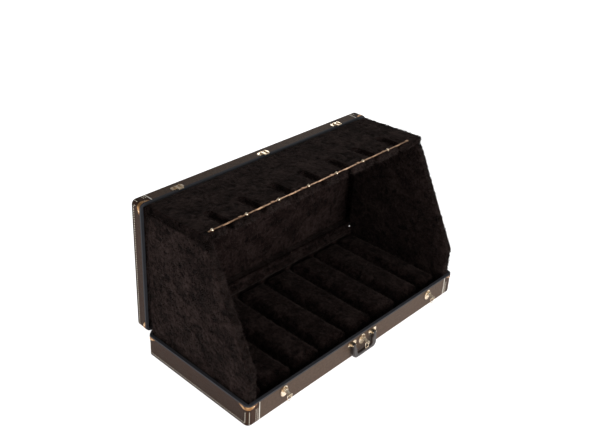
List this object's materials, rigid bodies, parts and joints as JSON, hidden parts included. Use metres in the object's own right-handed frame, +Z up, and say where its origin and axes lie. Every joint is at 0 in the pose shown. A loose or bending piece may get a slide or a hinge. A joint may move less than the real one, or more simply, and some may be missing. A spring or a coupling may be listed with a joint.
{
  "type": "guitar rack",
  "caption": "Hard case that opens into a guitar rack: floor tray with padded grooves, upright lid, plush side panels and a slotted neck panel with swing gates.",
  "frame": {"origin": "middle of the underside of the whole rack, at floor level", "axes": "+X along the length of the case, -Y to the front where the handle is, +Z up"},
  "size_m": [1.0028, 0.5286, 0.5486],
  "materials": {
    "plywood": "sanded plywood",
    "covering": "pebbled satin",
    "plush": "short pile plush",
    "brass": "polished",
    "rim_metal": "satin",
    "piping": "satin",
    "handle_moulding": "leather grain"
  },
  "bodies": {
    "tray": {"tray_base_board": "plywood", "tray_front_board": "plywood", "tray_rear_board": "plywood", "tray_left_board": "plywood", "tray_right_board": "plywood", "tray_cover_left": "covering", "tray_cover_right": "covering", "tray_cover_middle": "covering", "tray_bottom_cover": "covering", "tray_lining": "plush", "tray_rim_trim": "rim_metal", "tray_corner_caps": "brass", "tray_piping": "piping", "hinge_tray_leaves": "brass", "handle_brackets": "brass", "latch_plates": "brass", "floor_pad_1": "plush", "floor_pad_2": "plush", "floor_pad_3": "plush", "floor_pad_4": "plush", "floor_pad_5": "plush", "floor_pad_6": "plush", "floor_pad_7": "plush", "floor_pad_8": "plush"},
    "lid": {"lid_back_board": "plywood", "lid_bottom_board": "plywood", "lid_top_board": "plywood", "lid_left_board": "plywood", "lid_right_board": "plywood", "lid_cover_left": "covering", "lid_cover_right": "covering", "lid_cover_middle": "covering", "lid_lining": "plush", "lid_rim_trim": "rim_metal", "lid_corner_caps": "brass", "lid_piping": "piping", "hinge_lid_leaves": "brass", "lid_catches": "brass"},
    "left_panel": {"left_side_board": "plywood", "left_side_plush": "plush"},
    "right_panel": {"right_side_board": "plywood", "right_side_plush": "plush"},
    "neck_panel": {"neck_board": "plywood", "neck_plush": "plush", "gate_pivot_screws": "brass", "gate_keepers": "brass"},
    "handle": {"handle_grip": "handle_moulding"},
    "gate_1": {"neck_gate_1": "brass"},
    "gate_2": {"neck_gate_2": "brass"},
    "gate_3": {"neck_gate_3": "brass"},
    "gate_4": {"neck_gate_4": "brass"},
    "gate_5": {"neck_gate_5": "brass"},
    "gate_6": {"neck_gate_6": "brass"},
    "gate_7": {"neck_gate_7": "brass"},
    "lever_1": {"latch_lever_1": "brass"},
    "loop_1": {"latch_loop_1": "brass"},
    "lever_2": {"latch_lever_2": "brass"},
    "loop_2": {"latch_loop_2": "brass"},
    "lever_3": {"latch_lever_3": "brass"},
    "loop_3": {"latch_loop_3": "brass"}
  },
  "joints": [
    {"name": "lid_lean", "type": "hinge", "parent": "tray", "child": "lid", "pos_m": [0, 0.21928, 0.077], "axis": [-1, 0, 0], "range_deg": [0, 12]},
    {"name": "neck_panel_lift", "type": "slide", "parent": "tray", "child": "neck_panel", "axis": [0, 0, 1], "range_m": [0, 0.25]},
    {"name": "left_panel_lift", "type": "slide", "parent": "tray", "child": "left_panel", "axis": [0, 0, 1], "range_m": [0, 0.1]},
    {"name": "right_panel_lift", "type": "slide", "parent": "tray", "child": "right_panel", "axis": [0, 0, 1], "range_m": [0, 0.1]},
    {"name": "handle_swing", "type": "hinge", "parent": "tray", "child": "handle", "pos_m": [0, -0.24422, 0.056], "axis": [-1, 0, 0], "range_deg": [0, 150]},
    {"name": "gate_1_swing", "type": "hinge", "parent": "neck_panel", "child": "gate_1", "pos_m": [-0.452, -0.03018, 0.54163], "axis": [0, -0.0523, -0.9986], "range_deg": [0, 95]},
    {"name": "gate_2_swing", "type": "hinge", "parent": "neck_panel", "child": "gate_2", "pos_m": [-0.325, -0.03018, 0.54163], "axis": [0, -0.0523, -0.9986], "range_deg": [0, 95]},
    {"name": "gate_3_swing", "type": "hinge", "parent": "neck_panel", "child": "gate_3", "pos_m": [-0.198, -0.03018, 0.54163], "axis": [0, -0.0523, -0.9986], "range_deg": [0, 95]},
    {"name": "gate_4_swing", "type": "hinge", "parent": "neck_panel", "child": "gate_4", "pos_m": [-0.071, -0.03018, 0.54163], "axis": [0, -0.0523, -0.9986], "range_deg": [0, 95]},
    {"name": "gate_5_swing", "type": "hinge", "parent": "neck_panel", "child": "gate_5", "pos_m": [0.056, -0.03018, 0.54163], "axis": [0, -0.0523, -0.9986], "range_deg": [0, 95]},
    {"name": "gate_6_swing", "type": "hinge", "parent": "neck_panel", "child": "gate_6", "pos_m": [0.183, -0.03018, 0.54163], "axis": [0, -0.0523, -0.9986], "range_deg": [0, 95]},
    {"name": "gate_7_swing", "type": "hinge", "parent": "neck_panel", "child": "gate_7", "pos_m": [0.31, -0.03018, 0.54163], "axis": [0, -0.0523, -0.9986], "range_deg": [0, 95]},
    {"name": "lever_1_swing", "type": "hinge", "parent": "tray", "child": "lever_1", "pos_m": [-0.355, -0.24122, 0.058], "axis": [-1, 0, 0], "range_deg": [0, 100]},
    {"name": "loop_1_swing", "type": "hinge", "parent": "lever_1", "child": "loop_1", "pos_m": [-0.355, -0.25844, 0.04997], "axis": [-1, 0, 0], "range_deg": [-15, 60]},
    {"name": "lever_2_swing", "type": "hinge", "parent": "tray", "child": "lever_2", "pos_m": [0, -0.24122, 0.058], "axis": [-1, 0, 0], "range_deg": [0, 100]},
    {"name": "loop_2_swing", "type": "hinge", "parent": "lever_2", "child": "loop_2", "pos_m": [0, -0.25844, 0.04997], "axis": [-1, 0, 0], "range_deg": [-15, 60]},
    {"name": "lever_3_swing", "type": "hinge", "parent": "tray", "child": "lever_3", "pos_m": [0.355, -0.24122, 0.058], "axis": [-1, 0, 0], "range_deg": [0, 100]},
    {"name": "loop_3_swing", "type": "hinge", "parent": "lever_3", "child": "loop_3", "pos_m": [0.355, -0.25844, 0.04997], "axis": [-1, 0, 0], "range_deg": [-15, 60]}
  ],
  "couplings": [
    {"joint": "left_panel_lift", "follows": "neck_panel_lift", "ratio": 0.4},
    {"joint": "right_panel_lift", "follows": "neck_panel_lift", "ratio": 0.4}
  ]
}
